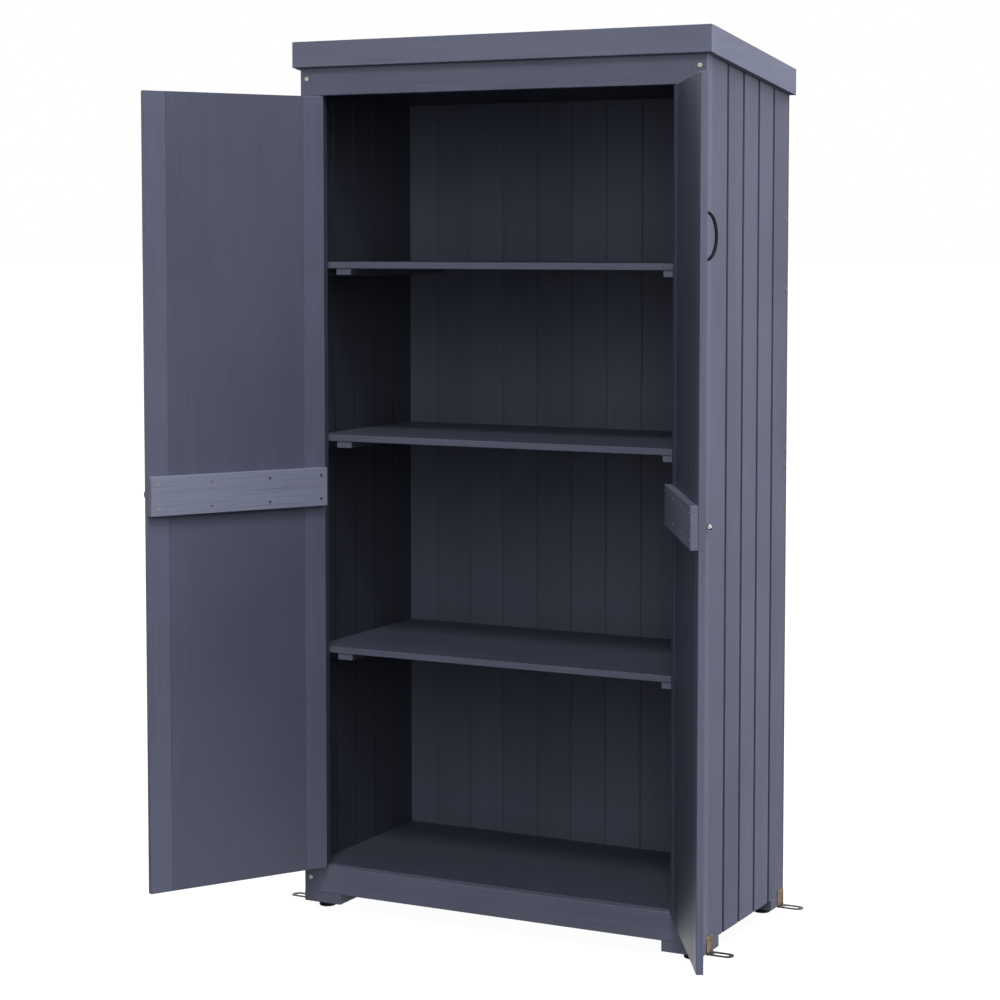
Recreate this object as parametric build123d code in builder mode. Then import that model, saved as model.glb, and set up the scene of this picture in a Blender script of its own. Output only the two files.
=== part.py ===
"""Tall two-door garden storage shed, all painted timber, on four corner feet.

Frame: X across the front (left to right), Y from the front to the back, Z up.
The origin is on the ground, in the middle of the footprint. The rest pose has
both doors standing open.
"""
import math
import os

from build123d import *

os.makedirs("parts", exist_ok=True)

# ---------------------------------------------------------------- dimensions
body_w = 882.0          # over the outer faces of the front posts
body_d = 431.0          # front face of the posts to the back of the rear panels
half_w = body_w / 2

pad_h = 13.0            # black foot pads
pad_r = 17.0
pad_in = 34.0           # pad centre, in from both outer faces
block_w = 85.0          # corner foot blocks
block_front_d, block_rear_d = 82.0, 70.0
block_h = 21.0
sill_z = pad_h + block_h            # underside of the walls and of the bottom rail

post_w = 32.0           # front corner posts
post_d = 25.0
jamb_w = 15.0           # hinge jambs beside the posts
rail_d = 22.0           # header and bottom rail
floor_top = 90.0
header_bottom = 1655.0

board_t = 12.0          # tongue-and-groove cladding of the sides
board_n = 5
wall_out = half_w - 1.0             # outer face of the side cladding
wall_in = wall_out - board_t
back_t = 5.0            # grooved rear panels
back_in = body_d - back_t           # inner face of the rear panels
board_p = (back_in - post_d) / board_n
vee = 3.4               # V-joint on the outside of the doors
wall_vee_w = 4.1        # V-joint of the side cladding: half its width, and its depth
wall_vee = 5.0
end_vee = 1.2           # eased outer edges of the first and the last board
gap = 0.15              # half the gap at a board joint

floor_t = 13.0
shelf_t = 13.0
shelf_tops = {"upper": 1322.5, "middle": 973.0, "lower": 539.5}
shelf_front = post_d + 1.0
batten_w, batten_h = 34.0, 13.0     # battens under each shelf
batten_in = 342.0                   # inner edge of the battens, from the middle
cleat_s = 17.0                      # square cleats on the side walls

fascia_front_y = -10.0
fascia_t = 12.0
fascia_out = 454.0
fascia_low = 1711.4     # lower edge of the front fascia
roof_top = 1763.0       # upper edge of the front fascia
roof_fall = 0.127       # drop per unit of depth, front to back
lining_t = 6.0          # panel that closes the roof from below
deck_t = 12.0
felt_t = 3.0
felt_down = 1.1         # top of the felt, below the upper edge of the fascias

door_gap = 2.5          # between a jamb and its door
door_t = 13.0
door_low, door_high = 92.0, 1652.0
meet_gap = 2.5          # between the two doors
stile_w = 46.0
panel_t = 12.4          # door panel, flush outside, a little set back inside
ledge_low, ledge_high = 834.0, 911.0
ledge_t = 14.0
door_open = 120.0       # opening angle of the rest pose

pin_r = 1.5
bore_r = 1.55
knuckle_r = 3.2
leaf_t = 1.6
leaf_w = 20.5
hinge_h = 60.0
hinge_z = (212.0, 842.0, 1472.0)    # lower end of each hinge

handle_z = 1373.0
handle_in = 26.0        # handle centre, in from the free edge
handle_h = 81.0         # between the two foot centres
handle_reach = 18.7     # bar centre, off the door
handle_r = 3.0

bolt_z = 874.0
bolt_r = 4.0
bolt_off = 6.4          # bolt axis, off the door face
bolt_travel = 22.0

anchor_ys = {"front": 34.0, "rear": 410.0}      # middle of the ground anchors
anchor_low = 11.5        # underside of their feet
anchor_w = 30.0
anchor_reach = 50.0
anchor_t = 2.0

# ---------------------------------------------------------------- frames
# x across from the middle, y into the shed from the front face of the posts
front = Plane(origin=(0, -body_d / 2, 0), x_dir=(1, 0, 0), z_dir=(0, 0, 1))
# looking from the right: local x runs to the back, local y runs up
section = Plane(origin=(0, -body_d / 2, 0), x_dir=(0, 1, 0), z_dir=(1, 0, 0))


def roof_z(y):
    """Height of the upper edge of the roof boards at a depth y."""
    return roof_top - roof_fall * (y - fascia_front_y)


fascia_h = roof_top - fascia_low


def layer(y0, y1, low, high):
    """Section of a sloping layer of the roof, measured down from the fascias' upper edge."""
    return [
        (y0, roof_z(y0) - low),
        (y1, roof_z(y1) - low),
        (y1, roof_z(y1) - high),
        (y0, roof_z(y0) - high),
    ]


# the walls, posts and header stop just under the roof, level with the fascias' lower edge
under_roof = Plane(
    origin=(0, -body_d / 2, roof_z(0) - fascia_h - 0.1),
    x_dir=(1, 0, 0),
    z_dir=(0, roof_fall, 1),
)


def outward(frame, y):
    """Plane on a front face: local x as the frame's, local y up, facing out."""
    return Plane(
        origin=frame.from_local_coords((0, y, 0)), x_dir=frame.x_dir, z_dir=-frame.y_dir
    )


def inward(frame, y):
    """Plane facing into the shed: local x reversed, local y up."""
    return Plane(
        origin=frame.from_local_coords((0, y, 0)), x_dir=-frame.x_dir, z_dir=frame.y_dir
    )


hand = {"left": 1, "right": -1}     # direction from a hinge to its free edge
jamb_edge = half_w - post_w - jamb_w
pin_x = jamb_edge - door_gap / 2
door_hinge_edge = door_gap / 2                  # from the pin
door_free_edge = pin_x - meet_gap / 2           # from the pin
pin_frame, door_pin_frame, door = {}, {}, {}
for side, e in hand.items():
    turn = math.radians(-e * door_open)
    across = Vector(math.cos(turn), math.sin(turn), 0)
    at = front.from_local_coords((-e * pin_x, -knuckle_r, 0))
    pin_frame[side] = Plane(origin=at, x_dir=(1, 0, 0), z_dir=(0, 0, 1))
    door_pin_frame[side] = Plane(origin=at, x_dir=across, z_dir=(0, 0, 1))
    # y = 0 on the outer face of the door
    door[side] = Plane(
        origin=door_pin_frame[side].from_local_coords((0, knuckle_r, 0)),
        x_dir=across,
        z_dir=(0, 0, 1),
    )

post_screw_z = (63.0, 1689.0)
post_screw_x = 426.0
rear_screw_z = (80.0, 829.0, 914.0, 948.0, 1268.0, 1407.0, 1616.0)
rear_screw_y = back_in - 6.0
leaf_screw_x = 13.5
leaf_screw_dz = (12.0, 48.0)
anchor_screw_z = (23.0, 39.0)

# ---------------------------------------------------------------- foot pads
corners = [
    (sx * (half_w - pad_in), y)
    for sx in (-1, 1)
    for y in (pad_in, body_d - pad_in)
]
with BuildPart() as foot_pads:
    with BuildSketch(front):
        with Locations(*corners):
            Circle(pad_r)
    extrude(amount=pad_h)
    # rounded lower rim of each moulded pad
    fillet(foot_pads.edges().group_by(Axis.Z)[0], 1.5)
foot_pads.part.label = "foot_pads"
export_step(foot_pads.part, "parts/foot_pads.step")

# ---------------------------------------------------------------- foot blocks
with BuildPart() as foot_blocks:
    with BuildSketch(front.offset(pad_h)):
        for sx in (-1, 1):
            with Locations((sx * (half_w - block_w / 2), block_front_d / 2)):
                Rectangle(block_w, block_front_d)
            with Locations((sx * (half_w - block_w / 2), body_d - block_rear_d / 2)):
                Rectangle(block_w, block_rear_d)
    extrude(amount=block_h)
    chamfer(foot_blocks.edges().group_by(Axis.Z)[0], 1.0)
    # pilot holes of the ground anchors' lower screws
    for sx in (-1, 1):
        face = Plane(
            origin=front.from_local_coords((sx * half_w, 0, 0)),
            x_dir=(0, sx, 0),
            z_dir=(sx, 0, 0),
        )
        with BuildSketch(face):
            with Locations(*[(sx * y, anchor_screw_z[0]) for y in anchor_ys.values()]):
                Circle(1.85)
        extrude(amount=-20, mode=Mode.SUBTRACT)
foot_blocks.part.label = "foot_blocks"
export_step(foot_blocks.part, "parts/foot_blocks.step")

# ---------------------------------------------------------------- ground anchors
for fb, ya in anchor_ys.items():
    for side, sx in (("left", -1), ("right", 1)):
        face = Plane(
            origin=front.from_local_coords((sx * half_w, ya, 0)),
            x_dir=(0, sx, 0),
            z_dir=(sx, 0, 0),
        )
        with BuildPart() as anchor:
            # upright plate against the foot block
            with BuildSketch(face):
                with Locations((0, (anchor_low + pad_h + 34) / 2)):
                    Rectangle(anchor_w, pad_h + 34 - anchor_low)
            extrude(amount=anchor_t)
            fillet(anchor.edges().filter_by(Axis.X).group_by(Axis.Z)[-1], 5)
            # flat foot that runs outwards, with a rounded end
            with BuildSketch(front.offset(anchor_low)):
                with Locations((sx * (half_w + (anchor_reach - 13) / 2), ya)):
                    Rectangle(anchor_reach - 13, 26)
                with Locations((sx * (half_w + anchor_reach - 13), ya)):
                    Circle(13)
            extrude(amount=anchor_t)
            # long slot for a ground peg
            with BuildSketch(front.offset(anchor_low)):
                with Locations((sx * (half_w + 25), ya)):
                    SlotOverall(34, 14)
            extrude(amount=anchor_t, mode=Mode.SUBTRACT)
            # clearance holes of the two screws
            with BuildSketch(face):
                with Locations(*[(0, z) for z in anchor_screw_z]):
                    Circle(2.1)
            extrude(amount=anchor_t, mode=Mode.SUBTRACT)
        anchor.part.label = f"ground_anchor_{fb}_{side}"
        export_step(anchor.part, f"parts/ground_anchor_{fb}_{side}.step")

with BuildPart() as anchor_screws:
    for sx in (-1, 1):
        face = Plane(
            origin=front.from_local_coords((sx * (half_w + anchor_t), 0, 0)),
            x_dir=(0, sx, 0),
            z_dir=(sx, 0, 0),
        )
        spots = [(sx * y, z) for y in anchor_ys.values() for z in anchor_screw_z]
        with BuildSketch(face):
            with Locations(*spots):
                Circle(3.4)
        extrude(amount=1.4)
        with BuildSketch(face):
            with Locations(*spots):
                Circle(1.8)
        extrude(amount=-14)
        # cross recess
        with BuildSketch(face.offset(0.7)):
            with Locations(*spots):
                Rectangle(3.6, 0.8)
                Rectangle(0.8, 3.6)
        extrude(amount=1.0, mode=Mode.SUBTRACT)
anchor_screws.part.label = "anchor_screws"
export_step(anchor_screws.part, "parts/anchor_screws.step")

# ---------------------------------------------------------------- front frame
for side, e in hand.items():
    sx = -e
    with BuildPart() as post:
        with BuildSketch(front.offset(sill_z)):
            with Locations((sx * (half_w - post_w / 2), post_d / 2)):
                Rectangle(post_w, post_d)
        extrude(amount=1760 - sill_z)
        # eased front arrises
        fillet(post.edges().filter_by(Axis.Z).group_by(Axis.Y)[0], 2.0)
        split(bisect_by=under_roof, keep=Keep.BOTTOM)
        with BuildSketch(outward(front, 0)):
            with Locations(*[(sx * post_screw_x, z) for z in post_screw_z]):
                Circle(2.05)
        extrude(amount=-30, mode=Mode.SUBTRACT)
    post.part.label = f"post_front_{side}"
    export_step(post.part, f"parts/post_front_{side}.step")

    with BuildPart() as jamb:
        with BuildSketch(front.offset(floor_top)):
            with Locations((sx * (half_w - post_w - jamb_w / 2), post_d / 2)):
                Rectangle(jamb_w, post_d)
        extrude(amount=header_bottom - floor_top)
        # pilot holes of the hinge screws
        with BuildSketch(outward(front, 0)):
            with Locations(
                *[
                    (sx * (pin_x + leaf_screw_x), z + dz)
                    for z in hinge_z
                    for dz in leaf_screw_dz
                ]
            ):
                Circle(1.45)
        extrude(amount=-16, mode=Mode.SUBTRACT)
    jamb.part.label = f"jamb_{side}"
    export_step(jamb.part, f"parts/jamb_{side}.step")

with BuildPart() as header_rail:
    with BuildSketch(front.offset(header_bottom)):
        with Locations((0, rail_d / 2)):
            Rectangle(2 * (half_w - post_w), rail_d)
    extrude(amount=1760 - header_bottom)
    split(bisect_by=under_roof, keep=Keep.BOTTOM)
    fillet(header_rail.edges().filter_by(Axis.X).group_by(Axis.Z)[0], 1.5)
header_rail.part.label = "header_rail"
export_step(header_rail.part, "parts/header_rail.step")

with BuildPart() as bottom_rail:
    with BuildSketch(front.offset(sill_z)):
        with Locations((0, rail_d / 2)):
            Rectangle(2 * (half_w - post_w), rail_d)
    extrude(amount=floor_top - sill_z)
    fillet(
        bottom_rail.edges().filter_by(Axis.X).group_by(Axis.Y)[0], 1.5
    )
bottom_rail.part.label = "bottom_rail"
export_step(bottom_rail.part, "parts/bottom_rail.step")

# heads of the frame screws: four in the posts, seven up each rear edge
with BuildPart() as frame_screws:
    face = outward(front, 0)
    spots = [(sx * post_screw_x, z) for sx in (-1, 1) for z in post_screw_z]
    with BuildSketch(face):
        with Locations(*spots):
            Circle(4.2)
    extrude(amount=1.2)
    fillet(frame_screws.edges().group_by(Axis.Y)[0], 0.5)
    with BuildSketch(face):
        with Locations(*spots):
            Circle(2.0)
    extrude(amount=-24)
    with BuildSketch(face.offset(0.5)):
        with Locations(*spots):
            Rectangle(4.6, 1.0)
            Rectangle(1.0, 4.6)
    extrude(amount=1.0, mode=Mode.SUBTRACT)
    for sx in (-1, 1):
        side_face = Plane(
            origin=front.from_local_coords((sx * wall_out, 0, 0)),
            x_dir=(0, sx, 0),
            z_dir=(sx, 0, 0),
        )
        rear = [(sx * rear_screw_y, z) for z in rear_screw_z]
        with BuildSketch(side_face):
            with Locations(*rear):
                Circle(3.6)
        extrude(amount=1.2)
        with BuildSketch(side_face):
            with Locations(*rear):
                Circle(1.75)
        extrude(amount=-10)
frame_screws.part.label = "frame_screws"
export_step(frame_screws.part, "parts/frame_screws.step")

# ---------------------------------------------------------------- side walls
for side, sx in (("left", -1), ("right", 1)):
    with BuildPart() as wall:
        with BuildSketch(front.offset(sill_z)):
            for i in range(board_n):
                y0 = post_d + 0.1 + i * board_p
                y1 = post_d + 0.1 + (i + 1) * board_p
                fore_w, fore = (wall_vee_w, wall_vee) if i > 0 else (end_vee, end_vee)
                aft_w, aft = (wall_vee_w, wall_vee) if i < board_n - 1 else (end_vee, end_vee)
                # thickness t runs from the inner face to the outer face
                pts = [(0, y0 + 1), (0, y1 - 1), (1, y1 - gap)]
                if i < board_n - 1:
                    # tongue
                    pts += [
                        (2.4, y1 - gap),
                        (2.4, y1 + 4.5),
                        (5.4, y1 + 4.5),
                        (5.4, y1 - gap),
                    ]
                pts += [
                    (board_t - aft, y1 - gap),
                    (board_t, y1 - aft_w),
                    (board_t, y0 + fore_w),
                    (board_t - fore, y0 + gap),
                ]
                if i > 0:
                    # groove
                    pts += [
                        (5.6, y0 + gap),
                        (5.6, y0 + 5.0),
                        (2.2, y0 + 5.0),
                        (2.2, y0 + gap),
                    ]
                pts += [(1, y0 + gap)]
                with BuildLine():
                    Polyline([(sx * (wall_in + t), y) for t, y in pts], close=True)
                make_face()
        extrude(amount=1760 - sill_z)
        split(bisect_by=under_roof, keep=Keep.BOTTOM)
        face = Plane(
            origin=front.from_local_coords((sx * wall_out, 0, 0)),
            x_dir=(0, sx, 0),
            z_dir=(sx, 0, 0),
        )
        # screw holes: rear edge, and the upper screw of each ground anchor
        with BuildSketch(face):
            with Locations(*[(sx * rear_screw_y, z) for z in rear_screw_z]):
                Circle(1.8)
            with Locations(*[(sx * y, anchor_screw_z[1]) for y in anchor_ys.values()]):
                Circle(1.85)
        extrude(amount=-board_t - 1, mode=Mode.SUBTRACT)
    wall.part.label = f"side_wall_{side}"
    export_step(wall.part, f"parts/side_wall_{side}.step")

# ---------------------------------------------------------------- rear panels
seams = (sill_z, 440.0, 847.0, 1254.0, 1763.0)
panel_names = ("bottom", "lower", "upper", "top")
for name, z0, z1 in zip(panel_names, seams[:-1], seams[1:]):
    with BuildPart() as back:
        with BuildSketch(front.offset(z0 + 0.05)):
            with BuildLine():
                # grooves at the board pitch on both faces, one board centred
                half = wall_out - 0.3
                grooves = [k * 80.8 + 40.4 for k in range(-5, 5)]
                inner = [(-half, back_in + 0.1)]
                for g in grooves:
                    inner += [
                        (g - 1.7, back_in + 0.1),
                        (g, back_in + 1.6),
                        (g + 1.7, back_in + 0.1),
                    ]
                inner += [(half, back_in + 0.1)]
                outer = [(half, body_d)]
                for g in reversed(grooves):
                    outer += [
                        (g + 1.9, body_d),
                        (g, body_d - 1.7),
                        (g - 1.9, body_d),
                    ]
                outer += [(-half, body_d)]
                Polyline(inner + outer, close=True)
            make_face()
        extrude(amount=z1 - z0 - 0.1)
        if name == "top":
            split(bisect_by=under_roof, keep=Keep.BOTTOM)
        # eased seam edge
        else:
            chamfer(
                back.faces()
                .sort_by(Axis.Z)[-1]
                .edges()
                .filter_by(GeomType.LINE)
                .group_by(Axis.Y)[0],
                0.4,
            )
    back.part.label = f"back_panel_{name}"
    export_step(back.part, f"parts/back_panel_{name}.step")

# ---------------------------------------------------------------- floor
with BuildPart() as floor_panel:
    with BuildSketch(front.offset(floor_top - floor_t)):
        y0, y1 = rail_d + 0.2, back_in - 0.3
        with BuildLine():
            # notched round the front posts and jambs
            inner = jamb_edge - 0.3
            outer = wall_in - 0.3
            Polyline(
                [
                    (-inner, y0),
                    (inner, y0),
                    (inner, post_d + 0.3),
                    (outer, post_d + 0.3),
                    (outer, y1),
                    (-outer, y1),
                    (-outer, post_d + 0.3),
                    (-inner, post_d + 0.3),
                ],
                close=True,
            )
        make_face()
    extrude(amount=floor_t)
floor_panel.part.label = "floor_panel"
export_step(floor_panel.part, "parts/floor_panel.step")

with BuildPart() as floor_bearers:
    with BuildSketch(front.offset(sill_z + 0.2)):
        with Locations(
            *[(sx * (wall_in - 0.2 - 12), (post_d + back_in) / 2) for sx in (-1, 1)]
        ):
            Rectangle(24, back_in - post_d - 2)
        with Locations((0, back_in - 0.4 - 11)):
            Rectangle(2 * (wall_in - 25), 22)
    extrude(amount=floor_top - floor_t - sill_z - 0.4)
floor_bearers.part.label = "floor_bearers"
export_step(floor_bearers.part, "parts/floor_bearers.step")

# ---------------------------------------------------------------- shelves
for name, top in shelf_tops.items():
    with BuildPart() as shelf:
        with BuildSketch(front.offset(top - shelf_t)):
            with Locations((0, (shelf_front + back_in - 0.3) / 2)):
                Rectangle(2 * (wall_in - 0.5), back_in - 0.3 - shelf_front)
        extrude(amount=shelf_t)
        fillet(shelf.edges().filter_by(Axis.X).group_by(Axis.Y)[0], 1.0)
    shelf.part.label = f"shelf_{name}"
    export_step(shelf.part, f"parts/shelf_{name}.step")

    with BuildPart() as battens:
        with BuildSketch(front.offset(top - shelf_t - batten_h)):
            with Locations(
                *[
                    (sx * (batten_in + batten_w / 2), (shelf_front + back_in) / 2 - 6)
                    for sx in (-1, 1)
                ]
            ):
                Rectangle(batten_w, back_in - shelf_front - 16)
        extrude(amount=batten_h)
        chamfer(battens.edges().filter_by(Axis.Y).group_by(Axis.Z)[0], 1.0)
    battens.part.label = f"shelf_battens_{name}"
    export_step(battens.part, f"parts/shelf_battens_{name}.step")

for side, sx in (("left", -1), ("right", 1)):
    with BuildPart() as cleats:
        for top in shelf_tops.values():
            with BuildSketch(front.offset(top - shelf_t - cleat_s)):
                with Locations(
                    (sx * (wall_in - 0.1 - cleat_s / 2), (post_d + back_in) / 2)
                ):
                    Rectangle(cleat_s, back_in - post_d - 8)
            extrude(amount=cleat_s)
    cleats.part.label = f"wall_cleats_{side}"
    export_step(cleats.part, f"parts/wall_cleats_{side}.step")

# ---------------------------------------------------------------- roof
with BuildPart() as roof_fascia_front:
    with BuildSketch(section.offset(-fascia_out)):
        with BuildLine():
            Polyline(
                [
                    (fascia_front_y, fascia_low),
                    (-0.2, fascia_low),
                    (-0.2, roof_z(-0.2)),
                    (fascia_front_y, roof_z(fascia_front_y)),
                ],
                close=True,
            )
        make_face()
    extrude(amount=2 * fascia_out)
    fillet(roof_fascia_front.edges().filter_by(Axis.X).group_by(Axis.Z)[0].sort_by(Axis.Y)[0], 1.5)
roof_fascia_front.part.label = "roof_fascia_front"
export_step(roof_fascia_front.part, "parts/roof_fascia_front.step")

for side, x0 in (("left", -fascia_out), ("right", fascia_out - fascia_t)):
    with BuildPart() as fascia:
        with BuildSketch(section.offset(x0)):
            with BuildLine():
                Polyline(
                    [
                        (0, roof_z(0) - fascia_h),
                        (body_d, roof_z(body_d) - fascia_h),
                        (body_d, roof_z(body_d)),
                        (0, roof_z(0)),
                    ],
                    close=True,
                )
            make_face()
        extrude(amount=fascia_t)
    fascia.part.label = f"roof_fascia_{side}"
    export_step(fascia.part, f"parts/roof_fascia_{side}.step")

# inside the fascias: lining on the walls, frame of battens, deck, felt
lid_half = fascia_out - fascia_t - 0.2
deck_down = felt_down + felt_t + 0.1
with BuildPart() as roof_lining:
    with BuildSketch(section.offset(-lid_half)):
        with BuildLine():
            Polyline(layer(0, body_d, fascia_h, fascia_h - lining_t), close=True)
        make_face()
    extrude(amount=2 * lid_half)
roof_lining.part.label = "roof_lining"
export_step(roof_lining.part, "parts/roof_lining.step")

with BuildPart() as roof_frame:
    low, high = fascia_h - lining_t - 0.1, deck_down + deck_t + 0.1
    # three battens from front to back, and one along the rear edge
    for x0 in (-lid_half, -15.0, lid_half - 30.0):
        with BuildSketch(section.offset(x0)):
            with BuildLine():
                Polyline(layer(0, body_d - 30.1, low, high), close=True)
            make_face()
        extrude(amount=30)
    with BuildSketch(section.offset(-lid_half)):
        with BuildLine():
            Polyline(layer(body_d - 30, body_d, low, high), close=True)
        make_face()
    extrude(amount=2 * lid_half)
roof_frame.part.label = "roof_frame"
export_step(roof_frame.part, "parts/roof_frame.step")

with BuildPart() as roof_deck:
    with BuildSketch(section.offset(-lid_half)):
        with BuildLine():
            Polyline(layer(0, body_d, deck_down + deck_t, deck_down), close=True)
        make_face()
    extrude(amount=2 * lid_half)
roof_deck.part.label = "roof_deck"
export_step(roof_deck.part, "parts/roof_deck.step")

with BuildPart() as roof_felt:
    with BuildSketch(section.offset(-lid_half)):
        with BuildLine():
            Polyline(layer(0.2, body_d + 2, felt_down + felt_t, felt_down), close=True)
        make_face()
    extrude(amount=2 * lid_half)
roof_felt.part.label = "roof_felt"
export_step(roof_felt.part, "parts/roof_felt.step")

# ---------------------------------------------------------------- hinges
# pins, with a domed head at the top of each hinge
with BuildPart() as hinge_pins:
    for side in hand:
        for z in hinge_z:
            with BuildSketch(pin_frame[side].offset(z - 0.5)):
                Circle(pin_r)
            extrude(amount=hinge_h + 1.0)
            with BuildSketch(pin_frame[side].offset(z + hinge_h + 0.3)):
                Circle(2.6)
            extrude(amount=1.6)
    fillet(
        hinge_pins.edges().filter_by(GeomType.CIRCLE).filter_by(
            lambda k: abs(k.radius - 2.6) < 0.01
        ),
        0.6,
    )
hinge_pins.part.label = "hinge_pins"
export_step(hinge_pins.part, "parts/hinge_pins.step")

for side, e in hand.items():
    # leaf on the frame: upper and lower knuckle
    with BuildPart() as frame_leaf:
        for z in hinge_z:
            with BuildSketch(pin_frame[side].offset(z)):
                with Locations((-e * (3.6 + leaf_w / 2), knuckle_r - leaf_t / 2)):
                    Rectangle(leaf_w, leaf_t - 0.1)
            extrude(amount=hinge_h)
            for z0, z1 in ((0, hinge_h / 3 - 0.2), (hinge_h * 2 / 3 + 0.2, hinge_h)):
                with BuildSketch(pin_frame[side].offset(z + z0)):
                    Circle(knuckle_r - 0.05)
                    with Locations((-e * 2.0, knuckle_r - leaf_t / 2)):
                        Rectangle(4.0, leaf_t - 0.1)
                    Circle(bore_r, mode=Mode.SUBTRACT)
                extrude(amount=z1 - z0)
        with BuildSketch(outward(front, 0)):
            with Locations(
                *[
                    (-e * (pin_x + leaf_screw_x), z + dz)
                    for z in hinge_z
                    for dz in leaf_screw_dz
                ]
            ):
                Circle(1.6)
        extrude(amount=3, mode=Mode.SUBTRACT)
    frame_leaf.part.label = f"frame_hinge_leaves_{side}"
    export_step(frame_leaf.part, f"parts/frame_hinge_leaves_{side}.step")

    # leaf on the door: middle knuckle
    with BuildPart() as door_leaf:
        for z in hinge_z:
            with BuildSketch(door_pin_frame[side].offset(z)):
                with Locations((e * (3.6 + leaf_w / 2), knuckle_r - leaf_t / 2)):
                    Rectangle(leaf_w, leaf_t - 0.1)
            extrude(amount=hinge_h)
            with BuildSketch(door_pin_frame[side].offset(z + hinge_h / 3 + 0.2)):
                Circle(knuckle_r - 0.05)
                with Locations((e * 2.0, knuckle_r - leaf_t / 2)):
                    Rectangle(4.0, leaf_t - 0.1)
                Circle(bore_r, mode=Mode.SUBTRACT)
            extrude(amount=hinge_h / 3 - 0.4)
        with BuildSketch(outward(door[side], 0)):
            with Locations(
                *[
                    (e * leaf_screw_x, z + dz)
                    for z in hinge_z
                    for dz in leaf_screw_dz
                ]
            ):
                Circle(1.6)
        extrude(amount=3, mode=Mode.SUBTRACT)
    door_leaf.part.label = f"door_{side}_hinge_leaves"
    export_step(door_leaf.part, f"parts/door_{side}_hinge_leaves.step")

with BuildPart() as hinge_screws_frame:
    face = outward(front, -leaf_t)
    spots = [
        (sx * (pin_x + leaf_screw_x), z + dz)
        for sx in (-1, 1)
        for z in hinge_z
        for dz in leaf_screw_dz
    ]
    with BuildSketch(face):
        with Locations(*spots):
            Circle(2.9)
    extrude(amount=1.2)
    with BuildSketch(face):
        with Locations(*spots):
            Circle(1.4)
    extrude(amount=-16)
    with BuildSketch(face.offset(0.5)):
        with Locations(*spots):
            Rectangle(3.2, 0.7)
            Rectangle(0.7, 3.2)
    extrude(amount=1.0, mode=Mode.SUBTRACT)
hinge_screws_frame.part.label = "hinge_screws_frame"
export_step(hinge_screws_frame.part, "parts/hinge_screws_frame.step")

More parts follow.
